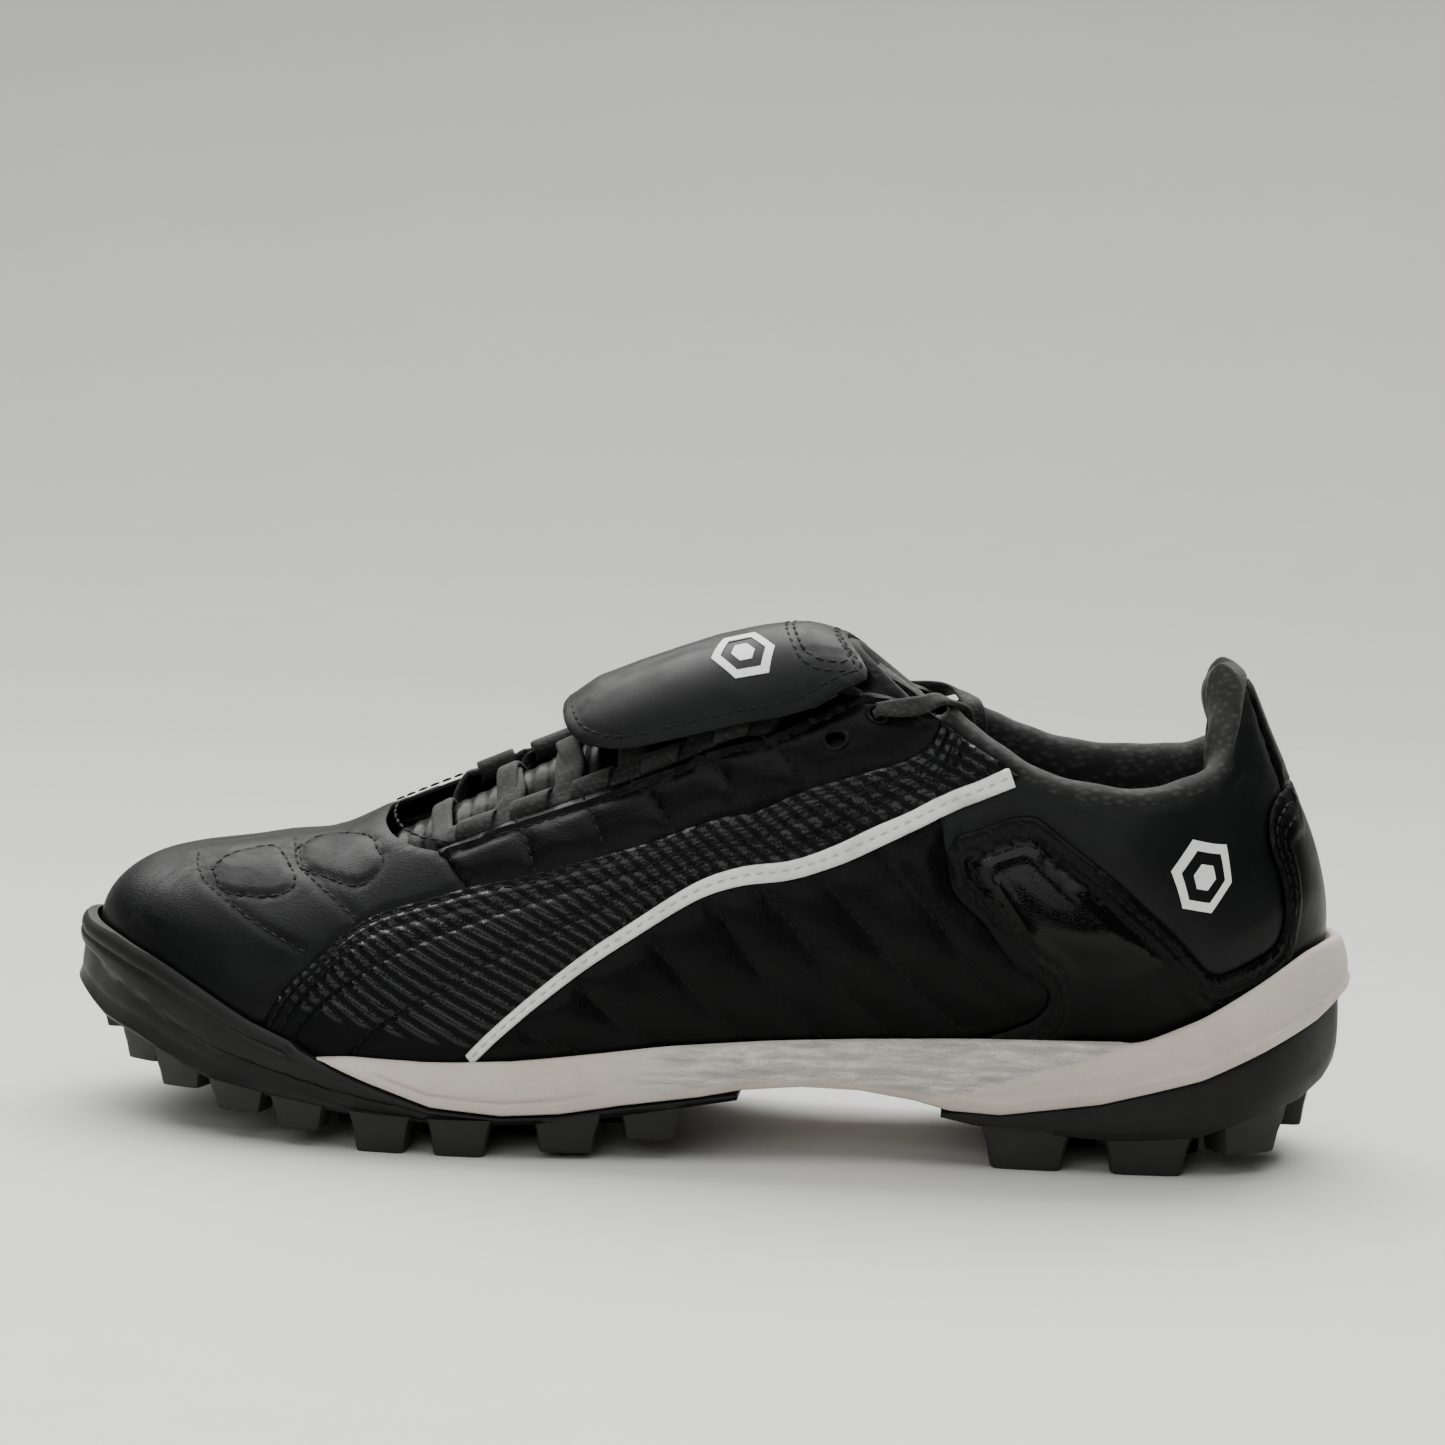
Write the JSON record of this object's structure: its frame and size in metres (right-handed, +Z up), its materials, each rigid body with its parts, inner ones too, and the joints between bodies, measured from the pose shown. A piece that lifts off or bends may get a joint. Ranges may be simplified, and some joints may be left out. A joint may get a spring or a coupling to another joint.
{
  "type": "turf football shoe",
  "caption": "Low-cut left turf football shoe with a lugged rubber outsole, foam midsole, panelled leather upper, loop lacing and a fold-over lace flap.",
  "frame": {"origin": "middle of the footprint on the floor, under the centre of the shoe's bounding box", "axes": "+Z up, -X towards the toe, +X towards the heel, -Y the lateral (outer) side, +Y the medial (inner) side of this left shoe"},
  "size_m": [0.3004, 0.1008, 0.1209],
  "materials": {
    "satin_leather": "satin black grain leather with fine creases",
    "gloss_leather": "glossier black crinkled leather",
    "embossed_panel": "black coated leather with glossy raised ribs",
    "moulded_counter": "glossy black moulded counter cover",
    "white_trim": "white coated piping with a stitch line",
    "board": "stiff fibre board, hidden",
    "textile": "black spacer mesh",
    "foam": "open-cell polyurethane foam, hidden",
    "sockliner": "dark textile-topped foam",
    "patent": "patent black leather with raised ribs",
    "felt": "black fuzzy felt",
    "lace": "black flat woven polyester",
    "aglet": "black clear-coated tip",
    "midsole": "warm off-white moulded EVA with light wrinkles and grain",
    "rubber": "black pebbled carbon rubber"
  },
  "bodies": {
    "shoe": {"aglet_lateral": "aglet", "aglet_medial": "aglet", "ankle_quarter_lateral": "satin_leather", "ankle_quarter_medial": "satin_leather", "back_strap": "gloss_leather", "collar_foam": "foam", "collar_lining": "textile", "eyestay_lateral": "gloss_leather", "eyestay_medial": "gloss_leather", "flap_anchor": "satin_leather", "forefoot_outsole": "rubber", "heel_counter": "moulded_counter", "heel_outsole": "rubber", "heel_stiffener": "board", "insole_board": "board", "lace": "lace", "lace_loop_lateral_1": "lace", "lace_loop_lateral_2": "lace", "lace_loop_lateral_3": "lace", "lace_loop_lateral_4": "lace", "lace_loop_lateral_5": "lace", "lace_loop_medial_1": "lace", "lace_loop_medial_2": "lace", "lace_loop_medial_3": "lace", "lace_loop_medial_4": "lace", "lace_loop_medial_5": "lace", "lace_tail_lateral": "lace", "lace_tail_medial": "lace", "midsole": "midsole", "piping_lateral": "white_trim", "piping_medial": "white_trim", "saddle_lateral": "gloss_leather", "saddle_medial": "gloss_leather", "side_panel_lateral": "embossed_panel", "side_panel_medial": "embossed_panel", "sockliner": "sockliner", "toe_puff": "board", "tongue_cover": "patent", "tongue_foam": "foam", "tongue_lining": "textile", "vamp": "satin_leather", "vamp_lining": "textile"},
    "flap": {"flap_cover": "satin_leather", "flap_backing": "felt"}
  },
  "joints": [
    {"name": "flap_fold", "type": "hinge", "parent": "shoe", "child": "flap", "pos_m": [0.02269, -0.00024, 0.1186], "axis": [0, 1, 0], "range_deg": [0, 110]}
  ]
}
